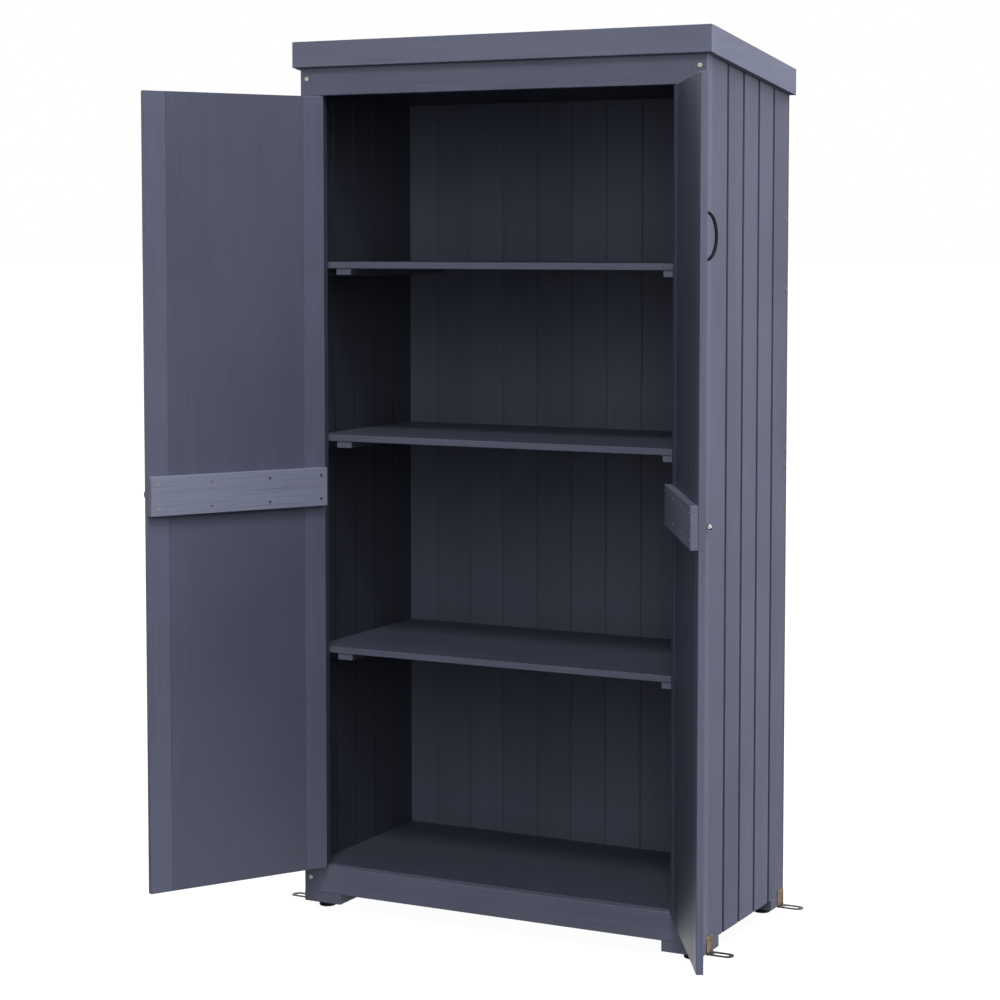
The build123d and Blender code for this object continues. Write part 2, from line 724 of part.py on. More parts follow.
# ---------------------------------------------------------------- doors
ledge_mid = (ledge_low + ledge_high) / 2
ledge_cols = [door_free_edge - 1.0 - d for d in (15.0, 130.0, 257.0, 372.0)]
ledge_rows = (ledge_mid - 23.5, ledge_mid + 23.5)
keeper_x = (3.0, 15.0)              # keeper, in from the left door's free edge
plate_x = (3.0, 61.0)               # bolt plate, in from the right door's free edge
for side, e in hand.items():
    frame = door[side]
    leaf_spots = [(e * leaf_screw_x, z + dz) for z in hinge_z for dz in leaf_screw_dz]
    handle_x = e * (door_free_edge - handle_in)
    handle_spots = [
        (handle_x, handle_z - handle_h / 2),
        (handle_x, handle_z + handle_h / 2),
    ]

    with BuildPart() as hinge_stile:
        with BuildSketch(frame.offset(door_low)):
            with Locations((e * (door_hinge_edge + stile_w / 2), door_t / 2)):
                Rectangle(stile_w - 0.1, door_t)
        extrude(amount=door_high - door_low)
        fillet(hinge_stile.edges().filter_by(Axis.Z), 1.2)
        with BuildSketch(outward(frame, 0)):
            with Locations(*leaf_spots):
                Circle(1.45)
        extrude(amount=-11, mode=Mode.SUBTRACT)
    hinge_stile.part.label = f"door_{side}_hinge_stile"
    export_step(hinge_stile.part, f"parts/door_{side}_hinge_stile.step")

    with BuildPart() as free_stile:
        with BuildSketch(frame.offset(door_low)):
            with Locations((e * (door_free_edge - stile_w / 2), door_t / 2)):
                Rectangle(stile_w - 0.1, door_t)
        extrude(amount=door_high - door_low)
        fillet(free_stile.edges().filter_by(Axis.Z), 1.2)
        with BuildSketch(outward(frame, 0)):
            with Locations(*handle_spots):
                Circle(2.1)
        extrude(amount=-10.5, mode=Mode.SUBTRACT)
    free_stile.part.label = f"door_{side}_free_stile"
    export_step(free_stile.part, f"parts/door_{side}_free_stile.step")

    # panel between the stiles: V-jointed outside, plain and recessed inside
    with BuildPart() as panel:
        with BuildSketch(frame.offset(door_low)):
            with BuildLine():
                xa = door_hinge_edge + stile_w + 0.1
                xb = door_free_edge - stile_w - 0.1
                pitch = (xb - xa) / 4
                pts = [(xa, vee), (xa + vee, 0)]
                for k in (1, 2, 3):
                    pts += [
                        (xa + k * pitch - vee, 0),
                        (xa + k * pitch, vee),
                        (xa + k * pitch + vee, 0),
                    ]
                pts += [(xb - vee, 0), (xb, vee), (xb, panel_t), (xa, panel_t)]
                Polyline([(e * x, y) for x, y in pts], close=True)
            make_face()
        extrude(amount=door_high - door_low)
    panel.part.label = f"door_{side}_panel"
    export_step(panel.part, f"parts/door_{side}_panel.step")

    # middle ledge across the inside, on both stiles
    ledge_face = inward(frame, door_t + ledge_t)
    ledge_spots = [(-e * x, z) for x in ledge_cols for z in ledge_rows]
    with BuildPart() as ledge:
        with BuildSketch(frame.offset(ledge_low)):
            xa, xb = door_hinge_edge + 3.0, door_free_edge - 1.0
            with Locations((e * (xa + xb) / 2, door_t + 0.1 + ledge_t / 2)):
                Rectangle(xb - xa, ledge_t - 0.2)
        extrude(amount=ledge_high - ledge_low)
        facing = Axis(ledge_face.origin, ledge_face.z_dir)
        fillet(ledge.faces().sort_by(facing)[-1].edges(), 1.2)
        with BuildSketch(ledge_face):
            with Locations(*ledge_spots):
                Circle(1.85)
        extrude(amount=-ledge_t - 1, mode=Mode.SUBTRACT)
    ledge.part.label = f"door_{side}_ledge"
    export_step(ledge.part, f"parts/door_{side}_ledge.step")

    with BuildPart() as ledge_screws:
        with BuildSketch(ledge_face):
            with Locations(*ledge_spots):
                Circle(3.0)
        extrude(amount=0.9)
        with BuildSketch(ledge_face):
            with Locations(*ledge_spots):
                Circle(1.8)
        extrude(amount=-(ledge_t - 0.4))
        with BuildSketch(ledge_face.offset(0.4)):
            with Locations(*ledge_spots):
                Rectangle(3.4, 0.7)
                Rectangle(0.7, 3.4)
        extrude(amount=1.0, mode=Mode.SUBTRACT)
    ledge_screws.part.label = f"door_{side}_ledge_screws"
    export_step(ledge_screws.part, f"parts/door_{side}_ledge_screws.step")

    # arched pull handle: a round bar between two small feet, with threaded studs
    handle_plane = Plane(
        origin=frame.from_local_coords((handle_x, 0, handle_z)),
        x_dir=-frame.y_dir,
        z_dir=Vector(0, 0, 1).cross(frame.y_dir) * -1,
    )
    with BuildPart() as handle:
        with BuildLine(handle_plane) as path:
            # half an ellipse, square to the door at both feet
            EllipticalCenterArc(
                (2.1, 0), handle_reach - 2.1, handle_h / 2, start_angle=-90, arc_size=180
            )
        start = path.line @ 0
        with BuildSketch(Plane(origin=start, z_dir=path.line % 0)):
            Circle(handle_r)
        sweep()
        with BuildSketch(outward(frame, -0.1)):
            with Locations(*handle_spots):
                Circle(5.0)
        extrude(amount=2.4)
        with BuildSketch(outward(frame, -0.1)):
            with Locations(*handle_spots):
                Circle(2.0)
        extrude(amount=-10)
    handle.part.label = f"door_{side}_handle"
    export_step(handle.part, f"parts/door_{side}_handle.step")

    # screws of the hinge leaves, and of the keeper or the bolt plate
    if side == "left":
        mid = e * (door_free_edge - sum(keeper_x) / 2)
        fitting_spots = [(mid, bolt_z + dz) for dz in (-12.5, 12.5)]
    else:
        mid = e * (door_free_edge - sum(plate_x) / 2)
        fitting_spots = [
            (mid + dx, bolt_z + dz) for dx in (-23, 23) for dz in (-12.5, 12.5)
        ]
    with BuildPart() as hardware_screws:
        face = outward(frame, -leaf_t)
        with BuildSketch(face):
            with Locations(*leaf_spots):
                Circle(2.9)
        extrude(amount=1.2)
        with BuildSketch(face):
            with Locations(*leaf_spots):
                Circle(1.4)
        extrude(amount=-11)
        with BuildSketch(face.offset(0.5)):
            with Locations(*leaf_spots):
                Rectangle(3.2, 0.7)
                Rectangle(0.7, 3.2)
        extrude(amount=1.0, mode=Mode.SUBTRACT)
        with BuildSketch(face):
            with Locations(*fitting_spots):
                Circle(2.6)
        extrude(amount=1.0)
        with BuildSketch(face):
            with Locations(*fitting_spots):
                Circle(1.5)
        extrude(amount=-1.4)
    hardware_screws.part.label = f"door_{side}_hardware_screws"
    export_step(hardware_screws.part, f"parts/door_{side}_hardware_screws.step")

# ---------------------------------------------------------------- slide bolt


def rise(frame, x):
    """Section plane across the bolt at local x: local x outwards, local y up."""
    return Plane(
        origin=frame.from_local_coords((x, 0, bolt_z)),
        x_dir=-frame.y_dir,
        z_dir=Vector(0, 0, 1).cross(frame.y_dir),
    )


# plate and two guide loops on the right door
frame, e = door["right"], hand["right"]
with BuildPart() as bolt_plate:
    with BuildSketch(outward(frame, -0.1)):
        with Locations((e * (door_free_edge - sum(plate_x) / 2), bolt_z)):
            RectangleRounded(plate_x[1] - plate_x[0], 35, 3)
    extrude(amount=1.5)
    for x0, x1 in ((plate_x[0] + 2, plate_x[0] + 11), (plate_x[1] - 11, plate_x[1] - 2)):
        xa = e * (door_free_edge - x0)
        guide = rise(frame, xa)
        with BuildSketch(guide):
            with Locations((bolt_off / 2, 0)):
                Rectangle(bolt_off, 10.8)
            with Locations((bolt_off, 0)):
                Circle(5.4)
            with Locations((1.6, 0)):
                Rectangle(1.4, 17)
            with Locations((bolt_off, 0)):
                Circle(bolt_r + 0.08, mode=Mode.SUBTRACT)
            # nothing of the loop goes into the door
            with Locations((-5, 0)):
                Rectangle(10.2, 40, mode=Mode.SUBTRACT)
        toward = guide.z_dir.dot(frame.x_dir)
        extrude(amount=(x1 - x0) * (1 if toward * -e > 0 else -1))
    with BuildSketch(outward(frame, -0.1)):
        with Locations((e * (door_free_edge - sum(plate_x) / 2), bolt_z)):
            with GridLocations(46, 25, 2, 2):
                Circle(1.7)
    extrude(amount=3, mode=Mode.SUBTRACT)
bolt_plate.part.label = "bolt_plate"
export_step(bolt_plate.part, "parts/bolt_plate.step")

# round bolt with its finger knob
with BuildPart() as slide_bolt:
    xa = e * (door_free_edge - 4.0)
    rod = rise(frame, xa)
    toward = rod.z_dir.dot(frame.x_dir)
    with BuildSketch(rod):
        with Locations((bolt_off, 0)):
            Circle(bolt_r)
    extrude(amount=62 * (1 if toward * -e > 0 else -1))
    chamfer(slide_bolt.edges(), 0.8)
    # the knob hangs down, along the face of the door
    knob = Plane(
        origin=frame.from_local_coords((e * (door_free_edge - 43), -bolt_off, bolt_z)),
        x_dir=frame.x_dir,
        z_dir=(0, 0, -1),
    )
    with BuildSketch(knob):
        Circle(2.4)
    extrude(amount=9)
    with BuildSketch(knob.offset(9)):
        Circle(4.4)
    extrude(amount=5)
    fillet(
        slide_bolt.edges().filter_by(GeomType.CIRCLE).filter_by(
            lambda k: abs(k.radius - 4.4) < 0.01
        ),
        1.8,
    )
slide_bolt.part.label = "slide_bolt"
export_step(slide_bolt.part, "parts/slide_bolt.step")

# keeper loop on the left door
frame, e = door["left"], hand["left"]
with BuildPart() as bolt_keeper:
    with BuildSketch(outward(frame, -0.1)):
        with Locations((e * (door_free_edge - sum(keeper_x) / 2), bolt_z)):
            RectangleRounded(keeper_x[1] - keeper_x[0], 35, 3)
    extrude(amount=1.5)
    xa = e * (door_free_edge - keeper_x[0] - 1)
    guide = rise(frame, xa)
    with BuildSketch(guide):
        with Locations((bolt_off / 2, 0)):
            Rectangle(bolt_off, 12.4)
        with Locations((bolt_off, 0)):
            Circle(6.2)
        with Locations((bolt_off, 0)):
            Circle(bolt_r + 0.7, mode=Mode.SUBTRACT)
        with Locations((-5, 0)):
            Rectangle(10.2, 40, mode=Mode.SUBTRACT)
    toward = guide.z_dir.dot(frame.x_dir)
    extrude(amount=10 * (1 if toward * -e > 0 else -1))
    with BuildSketch(outward(frame, -0.1)):
        with Locations((e * (door_free_edge - sum(keeper_x) / 2), bolt_z)):
            with GridLocations(1, 25, 1, 2):
                Circle(1.7)
    extrude(amount=3, mode=Mode.SUBTRACT)
bolt_keeper.part.label = "bolt_keeper"
export_step(bolt_keeper.part, "parts/bolt_keeper.step")

print("pins at", {k: p.origin for k, p in pin_frame.items()})
print("right door axis", door["right"].x_dir, "left door axis", door["left"].x_dir)
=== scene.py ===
"""Finish, stage, light and camera for the tall two-door garden storage shed.

Metres, in the shed's own frame: X across the front, Y to the back, Z up, origin on
the ground. Every surface gets a procedural finish that follows the piece it is on:
grain runs along each board, the joints go dark as dirt and painted shade, the edges pale as wear and painted
highlight, and tones and faces carry painted light and shade.
"""
import math

import bpy
from mathutils import Matrix, Vector


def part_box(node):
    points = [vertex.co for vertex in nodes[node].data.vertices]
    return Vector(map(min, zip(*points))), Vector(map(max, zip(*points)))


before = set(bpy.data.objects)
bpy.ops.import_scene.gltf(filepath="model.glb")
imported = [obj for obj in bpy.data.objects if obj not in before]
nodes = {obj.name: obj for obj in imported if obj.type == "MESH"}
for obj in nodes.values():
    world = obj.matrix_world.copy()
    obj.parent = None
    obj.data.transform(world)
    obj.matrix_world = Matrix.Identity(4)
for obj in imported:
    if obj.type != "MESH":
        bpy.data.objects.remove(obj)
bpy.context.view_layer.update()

scene = bpy.context.scene


# ---------------------------------------------------------------- node helpers
class Shade:
    """One material and short ways to add and join its nodes."""

    def __init__(self, name):
        self.mat = bpy.data.materials.new(name)
        self.mat.use_nodes = True
        self.nt = self.mat.node_tree
        self.nt.nodes.clear()
        out = self.nt.nodes.new("ShaderNodeOutputMaterial")
        self.bsdf = self.nt.nodes.new("ShaderNodeBsdfPrincipled")
        self.nt.links.new(self.bsdf.outputs["BSDF"], out.inputs["Surface"])
        coords = self.nt.nodes.new("ShaderNodeTexCoord")
        self.place, self.facing = coords.outputs["Object"], coords.outputs["Normal"]

    def put(self, socket, value):
        if isinstance(value, bpy.types.NodeSocket):
            self.nt.links.new(value, socket)
        else:
            socket.default_value = value

    def shader(self, **values):
        for name, value in values.items():
            self.put(self.bsdf.inputs[name.replace("_", " ")], value)

    def math(self, op, a, b=0.0, c=0.0, clamp=False):
        n = self.nt.nodes.new("ShaderNodeMath")
        n.operation, n.use_clamp = op, clamp
        for socket, value in zip(n.inputs, (a, b, c)):
            self.put(socket, value)
        return n.outputs[0]

    def dot(self, v, axis):
        n = self.nt.nodes.new("ShaderNodeVectorMath")
        n.operation = "DOT_PRODUCT"
        self.put(n.inputs[0], v)
        n.inputs[1].default_value = tuple(axis)
        return n.outputs["Value"]

    def times(self, v, k):
        n = self.nt.nodes.new("ShaderNodeVectorMath")
        n.operation = "SCALE"
        self.put(n.inputs[0], v)
        self.put(n.inputs["Scale"], k)
        return n.outputs["Vector"]

    def xyz(self, x, y, z):
        n = self.nt.nodes.new("ShaderNodeCombineXYZ")
        for socket, value in zip(n.inputs, (x, y, z)):
            self.put(socket, value)
        return n.outputs[0]

    def split(self, v):
        n = self.nt.nodes.new("ShaderNodeSeparateXYZ")
        self.put(n.inputs[0], v)
        return n.outputs

    def noise(self, v, scale=1.0, detail=2.0, rough=0.5, twist=0.0):
        n = self.nt.nodes.new("ShaderNodeTexNoise")
        self.put(n.inputs["Vector"], v)
        n.inputs["Scale"].default_value = scale
        n.inputs["Detail"].default_value = detail
        n.inputs["Roughness"].default_value = rough
        n.inputs["Distortion"].default_value = twist
        return n.outputs["Fac"]

    def cells(self, v, scale, feature="F1"):
        n = self.nt.nodes.new("ShaderNodeTexVoronoi")
        n.feature = feature
        self.put(n.inputs["Vector"], v)
        n.inputs["Scale"].default_value = scale
        return n.outputs["Distance"], n.outputs["Color"]

    def chance(self, w):
        n = self.nt.nodes.new("ShaderNodeTexWhiteNoise")
        n.noise_dimensions = "1D"
        self.put(n.inputs["W"], w)
        return n.outputs["Value"]

    def ramp(self, x, lo, hi, a=0.0, b=1.0, smooth=True):
        n = self.nt.nodes.new("ShaderNodeMapRange")
        n.interpolation_type = "SMOOTHSTEP" if smooth else "LINEAR"
        self.put(n.inputs["Value"], x)
        for name, value in (("From Min", lo), ("From Max", hi), ("To Min", a), ("To Max", b)):
            n.inputs[name].default_value = value
        return n.outputs["Result"]

    def mix(self, fac, a, b):
        n = self.nt.nodes.new("ShaderNodeMix")
        n.data_type = "RGBA"
        self.put(n.inputs["Factor"], fac)
        sockets = [s for s in n.inputs if s.type == "RGBA"]
        for socket, value in zip(sockets, (a, b)):
            self.put(socket, (*value, 1.0) if isinstance(value, tuple) and len(value) == 3 else value)
        return [s for s in n.outputs if s.type == "RGBA"][0]

    def total(self, *terms):
        """Sum of (socket, weight) pairs, each taken about its middle of one half."""
        acc = None
        for socket, weight in terms:
            centred = self.math("SUBTRACT", socket, 0.5)
            acc = self.math("MULTIPLY", centred, weight) if acc is None else self.math("MULTIPLY_ADD", centred, weight, acc)
        return acc

    def bump(self, height, strength, depth, normal=None):
        n = self.nt.nodes.new("ShaderNodeBump")
        n.inputs["Strength"].default_value = strength
        n.inputs["Distance"].default_value = depth
        self.put(n.inputs["Height"], height)
        if normal is not None:
            self.put(n.inputs["Normal"], normal)
        return n.outputs["Normal"]


# ---------------------------------------------------------------- paint on timber
SLATE = (0.158, 0.169, 0.232)       # slate blue-grey paint
BARE_AND_HIGHLIGHT = (0.36, 0.36, 0.38)           # the same paint thinned on an arris, and a painted highlight there
JOINT_DIRT_AND_SHADE = (0.022, 0.025, 0.050)       # the same paint, dirty down in a joint, and painted shade in the groove
UP, ACROSS, DEEP = Vector((0, 0, 1)), Vector((1, 0, 0)), Vector((0, 1, 0))
ALONG_DOOR = {"left": Vector((-0.5, -math.sqrt(3) / 2, 0)), "right": Vector((0.5, -math.sqrt(3) / 2, 0))}


def paint(
    name, along, tone=1.0, grain=1.0, rough=0.5, wear_and_highlight=0.0, green=1.0, blue=1.0, faces=(), shift=0.0,
    boards=None, joint_dark=0.0, joint_w=(0.0012, 0.0036), joint_side=None,
):
    """Satin paint over planed timber, with the grain along one direction.

    boards = (direction, start, pitch, count) gives each board of a wall its own grain
    and shade. joint_dark is how far the joints between them go to dark blue, as dirt
    and as painted shade in the grooves, and joint_side = (direction, place) keeps that to the side with grooves.
    faces = ((direction, factor), ...) scales the colour of the faces that look that way:
    painted light where the factor is above one, painted shade where it is below.
    """
    s = Shade(name)
    a = along.normalized()
    b = a.cross(ACROSS if abs(a.x) < 0.9 else UP).normalized()
    c = a.cross(b)
    u, v, w = s.dot(s.place, a), s.dot(s.place, b), s.dot(s.place, c)
    u = s.math("ADD", u, 11.0 + shift)
    own = None
    if boards:
        direction, start, pitch, count = boards
        run = s.math("DIVIDE", s.math("SUBTRACT", s.dot(s.place, direction), start), pitch)
        own = s.chance(s.math("FLOOR", run))
        u = s.math("MULTIPLY_ADD", own, 9.0, u)

    def along_grain(k_along, k_across):
        return s.xyz(
            s.math("MULTIPLY", u, k_along), s.math("MULTIPLY", v, k_across), s.math("MULTIPLY", w, k_across)
        )

    figure = s.noise(along_grain(1.3, 24.0), 1.0, 3.0, 0.55, 0.8)     # wide bands of the log's rings
    fibre = s.noise(along_grain(5.0, 300.0), 1.0, 4.0, 0.6)           # streaks a few mm apart
    fine = s.noise(along_grain(24.0, 1300.0), 1.0, 2.0, 0.6)          # fibres under a mm
    cloud = s.noise(s.place, 4.5, 3.0, 0.55)                          # uneven coat
    peel = s.noise(s.place, 1500.0, 1.0)                              # roller texture
    pores = s.ramp(s.noise(along_grain(9.0, 620.0), 1.0, 2.0, 0.55), 0.60, 0.74)

    shade = s.total((figure, 0.24 * grain), (fibre, 0.32 * grain), (fine, 0.16 * grain), (cloud, 0.20))
    if own is not None:
        shade = s.math("MULTIPLY_ADD", s.math("SUBTRACT", own, 0.5), 0.09, shade)
    shade = s.math("MULTIPLY_ADD", pores, -0.10 * grain, shade)
    shade = s.math("ADD", shade, 1.0)
    coat = (SLATE[0] * tone, SLATE[1] * tone * green, SLATE[2] * tone * blue)
    colour = s.times(coat, shade)
    # edge paint goes paler in patches: paint wearing thin, and a painted highlight on the arrises
    if wear_and_highlight:
        patch = s.noise(s.xyz(s.math("MULTIPLY", u, 20.0), s.math("MULTIPLY", v, 90.0), s.math("MULTIPLY", w, 90.0)), 1.0, 4.0, 0.65)
        colour = s.mix(s.ramp(patch, 0.38, 0.68, 0.15 * wear_and_highlight, wear_and_highlight), colour, tuple(k * tone for k in BARE_AND_HIGHLIGHT))
    # the joints go dark blue: dirt, and painted shade in the grooves
    if boards and joint_dark:
        off = s.math("PINGPONG", run, 0.5)                            # 0 on a joint, one half mid-board
        off = s.math("MULTIPLY", off, pitch)
        groove = s.ramp(off, joint_w[0], joint_w[1], joint_dark, 0.0)
        from_middle = s.math("ABSOLUTE", s.math("SUBTRACT", run, count / 2))
        groove = s.math("MULTIPLY", groove, s.ramp(from_middle, count / 2 - 0.6, count / 2 - 0.4, 1.0, 0.0))
        if joint_side:
            depth = s.dot(s.place, joint_side[0])
            groove = s.math("MULTIPLY", groove, s.ramp(depth, joint_side[1] - 0.0005, joint_side[1] + 0.0005))
        colour = s.mix(groove, colour, JOINT_DIRT_AND_SHADE)
    # painted light and painted shade on the faces that look each way
    for direction, factor in faces:
        colour = s.times(colour, s.ramp(s.dot(s.facing, direction), 0.30, 0.60, 1.0, factor))
    gloss = s.math("ADD", s.total((fibre, 0.30), (cloud, 0.22), (figure, 0.12)), rough)
    relief = s.math("MULTIPLY_ADD", pores, -0.35, s.total((fibre, 1.0), (fine, 0.45), (figure, 0.5)))
    normal = s.bump(relief, min(1.0, 0.42 * grain), 0.0007)
    normal = s.bump(peel, 0.10, 0.0002, normal)
    s.shader(Base_Color=colour, Roughness=gloss, Normal=normal)
    s.bsdf.inputs["Specular IOR Level"].default_value = 0.38
    return s.mat


# ---------------------------------------------------------------- metal, plastic, felt
def yellow_zinc(name, light, dark, blush, rough, metal=0.85, fade=None):
    """Passivated zinc: a dull tan film with paler and pinker patches.

    fade = (direction, start, end, factor): how the colour darkens along a direction.
    """
    s = Shade(name)
    drift = s.noise(s.place, 60.0, 3.0, 0.6, 0.5)
    speck = s.noise(s.place, 900.0, 3.0, 0.6)
    colour = s.mix(s.ramp(drift, 0.35, 0.65), dark, light)
    colour = s.mix(s.ramp(s.noise(s.place, 140.0, 2.0), 0.52, 0.72), colour, blush)
    if fade:
        direction, start, end, factor = fade
        colour = s.times(colour, s.ramp(s.dot(s.place, direction), start, end, 1.0, factor))
    gloss = s.math("ADD", s.total((speck, 0.25), (drift, 0.2)), rough)
    s.shader(Base_Color=colour, Metallic=metal, Roughness=gloss, Normal=s.bump(speck, 0.12, 0.0002))
    return s.mat


def plated_steel(name, colour, rough, brushed, painted_shade_below=None):
    """Plated steel with fine drawing lines; below a given height the colour is darkened, painted shade."""
    s = Shade(name)
    x, y, z = s.split(s.place)
    lines = s.noise(s.xyz(s.math("MULTIPLY", x, 2600.0), s.math("MULTIPLY", y, 2600.0), s.math("MULTIPLY", z, 60.0)), 1.0, 3.0, 0.6)
    drift = s.noise(s.place, 85.0, 3.0, 0.6)
    dark = tuple(k * 0.72 for k in colour)
    tint = s.mix(s.ramp(drift, 0.3, 0.7), colour, dark)
    if painted_shade_below is not None:
        tint = s.times(tint, s.ramp(z, painted_shade_below - 0.001, painted_shade_below + 0.001, 0.3, 1.0))
    gloss = s.math("ADD", s.total((lines, 0.25 * brushed), (drift, 0.16)), rough)
    s.shader(Base_Color=tint, Metallic=1.0, Roughness=gloss, Normal=s.bump(lines, 0.10 * brushed, 0.0001))
    return s.mat


def black_coat(name, rough, peel_scale):
    s = Shade(name)
    peel = s.noise(s.place, peel_scale, 2.0, 0.5)
    drift = s.noise(s.place, 40.0, 3.0, 0.6)
    colour = s.mix(s.ramp(drift, 0.3, 0.7), (0.007, 0.007, 0.009), (0.014, 0.014, 0.017))
    gloss = s.math("ADD", s.total((peel, 0.2), (drift, 0.25)), rough)
    s.shader(Base_Color=colour, Roughness=gloss, Normal=s.bump(peel, 0.22, 0.0003))
    s.bsdf.inputs["Specular IOR Level"].default_value = 0.2
    return s.mat


def mineral_felt():
    s = Shade("mineral_felt")
    edge, grit = s.cells(s.place, 520.0)
    drift = s.noise(s.place, 6.0, 4.0, 0.6)
    lay = s.noise(s.place, 60.0, 3.0, 0.6)
    red, green, blue = s.split(grit)
    shade = s.math("ADD", s.math("MULTIPLY_ADD", red, 0.9, s.total((drift, 0.6), (lay, 0.5))), 0.55)
    colour = s.times((0.034, 0.037, 0.043), shade)
    gloss = s.math("MULTIPLY_ADD", green, 0.14, 0.80)
    height = s.math("MULTIPLY_ADD", red, 0.5, s.math("SUBTRACT", 1.0, edge))
    s.shader(Base_Color=colour, Roughness=gloss, Normal=s.bump(height, 0.55, 0.0009))
    return s.mat


# ---------------------------------------------------------------- each piece's finish
WALL_JOINTS = (DEEP, -0.1904, 0.0802, 5)
BACK_JOINTS = (ACROSS, -0.4444, 0.0808, 11)

finishes = {}


def finish_of(key, rubbed=0.34, edge_faces=None, **kw):
    """A paint and its edge paint, made once.

    The edge paint goes paler on the arrises, as paint wearing thin and as a painted highlight; edge_faces takes the
    place of faces there.
    """
    if key not in finishes:
        body = paint("paint_" + key, **kw)
        edge = paint("paint_" + key + "_edge", **{**kw, "wear_and_highlight": rubbed, "faces": edge_faces or kw.get("faces", ())})
        finishes[key] = (body, edge)
    return finishes[key]


# each piece's tone is set to how bright it looks in this light, on one paint: the pieces inside the shed are darker,
# painted shade, and the fascias and door ledges paler, painted light
wood = {}
for n in ("post_front_left", "post_front_right"):
    wood[n] = finish_of("post", along=UP, tone=0.92, blue=1.05)
# the sides of the jambs that look across the opening are painted darker: painted shade
for n in ("jamb_left", "jamb_right"):
    wood[n] = finish_of("jamb", along=UP, tone=0.92, blue=1.05, faces=((ACROSS, 0.45), (-ACROSS, 0.45)))
for n in ("header_rail", "bottom_rail"):
    wood[n] = finish_of("rail", along=ACROSS, tone=0.94, blue=1.05)
# the faces of the blocks that look to either side are painted darker: painted shade
wood["foot_blocks"] = finish_of("foot_block", rubbed=0.0, along=ACROSS, tone=0.88, blue=1.03, faces=((ACROSS, 0.88), (-ACROSS, 0.88)))
wood["roof_fascia_front"] = finish_of("fascia_front", along=ACROSS, tone=1.14, blue=1.03, grain=0.8)
for n in ("roof_fascia_left", "roof_fascia_right"):
    wood[n] = finish_of("fascia_side", along=DEEP, tone=1.14, blue=1.03, grain=0.8)
# the inside face of each wall is painted darker (its arrises darker still): painted shade inside the shed; the
# outside joints go near-black: dirt and painted shade in the grooves
for n, outer in (("side_wall_left", -ACROSS), ("side_wall_right", ACROSS)):
    wood[n] = finish_of(
        n, rubbed=0.2, along=UP, tone=0.79, blue=1.06, faces=((-outer, 0.38),), edge_faces=((-outer, 0.08),),
        boards=WALL_JOINTS, joint_dark=0.97, joint_w=(0.0046, 0.0056), joint_side=(outer, 0.434),
    )
# back panels in a dark tone, painted shade, paler towards the top, painted light; their joints go dark: dirt and
# painted shade
for n, tone in (("back_panel_bottom", 0.585), ("back_panel_lower", 0.585), ("back_panel_upper", 0.60), ("back_panel_top", 0.61)):
    wood[n] = finish_of(n, along=UP, tone=tone, green=1.04, blue=1.10, grain=0.8, boards=BACK_JOINTS, joint_dark=0.22, shift=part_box(n)[0].z * 7.0)
# inside boards in a dark tone, painted shade, with the faces that look to the front paler, painted light
for n in ("shelf_lower", "shelf_middle", "shelf_upper", "roof_deck", "roof_lining", "floor_bearers"):
    wood[n] = finish_of("board", along=ACROSS, tone=0.50, green=1.05, blue=1.10, faces=((-DEEP, 1.6),))
wood["floor_panel"] = finish_of("floor_board", along=ACROSS, tone=0.44, green=1.05, blue=1.10, faces=((-DEEP, 1.5),))
# battens in a dark tone, painted shade, with their front ends paler, painted light
for n in ("shelf_battens_lower", "shelf_battens_middle", "shelf_battens_upper", "wall_cleats_left", "wall_cleats_right", "roof_frame"):
    wood[n] = finish_of("batten", along=DEEP, tone=0.60, green=1.03, blue=1.05, faces=((-DEEP, 1.5),))
# doors: stiles with the free edge painted paler and the outer face darker, panels with the inner face darker than
# the outer, ledges in a paler tone with the free end darker: painted light and painted shade on one paint
for side, green in (("left", 1.02), ("right", 1.05)):
    along = ALONG_DOOR[side]
    outer = along.cross(UP) if side == "left" else UP.cross(along)
    for n in ("hinge_stile", "free_stile"):
        wood[f"door_{side}_{n}"] = finish_of("stile_" + side, along=UP, tone=0.71, green=1.01, blue=1.12, faces=((along, 1.14), (outer, 0.94)))
    wood[f"door_{side}_panel"] = finish_of("door_panel_" + side, along=UP, tone=0.54, green=green, blue=1.12 * green, grain=0.8, faces=((outer, 1.23),))
    wood[f"door_{side}_ledge"] = finish_of("ledge_" + side, along=along, tone=1.40 if side == "left" else 1.28, blue=1.04, grain=1.4, faces=((along, 0.74),))

# anchors are dull tan, darker down on their feet; the frame screws are paler and darker towards the back, the ledge
# screws darker towards each door's hinge
zinc = yellow_zinc("yellow_zinc_plate", (0.42, 0.335, 0.265), (0.33, 0.26, 0.20), (0.39, 0.29, 0.235), 0.5, fade=(-UP, -0.019, -0.013, 0.22))
zinc_heads = yellow_zinc("yellow_zinc_heads", (0.95, 0.91, 0.81), (0.82, 0.77, 0.66), (0.88, 0.80, 0.70), 0.36, metal=0.2, fade=(DEEP, -0.15, 0.15, 0.27))
zinc_rubbed = {
    "left": yellow_zinc(
        "yellow_zinc_rubbed_left", (0.45, 0.37, 0.33), (0.36, 0.30, 0.26), (0.45, 0.35, 0.31), 0.46, metal=0.3,
        fade=(-ALONG_DOOR["left"], -0.76, -0.56, 0.32),
    ),
    "right": yellow_zinc(
        "yellow_zinc_rubbed_right", (0.25, 0.25, 0.24), (0.20, 0.20, 0.19), (0.26, 0.25, 0.24), 0.46, metal=0.3,
        fade=(-ALONG_DOOR["right"], -0.75, -0.40, 0.7),
    ),
}
hinge_steel = plated_steel("zinc_plated_steel", (0.60, 0.61, 0.63), 0.36, 0.6)
dull_steel = plated_steel("dull_plated_steel", (0.21, 0.215, 0.24), 0.34, 0.6)
bright_steel = plated_steel("bright_nickel", (0.84, 0.84, 0.86), 0.2, 0.5, painted_shade_below=0.8698)
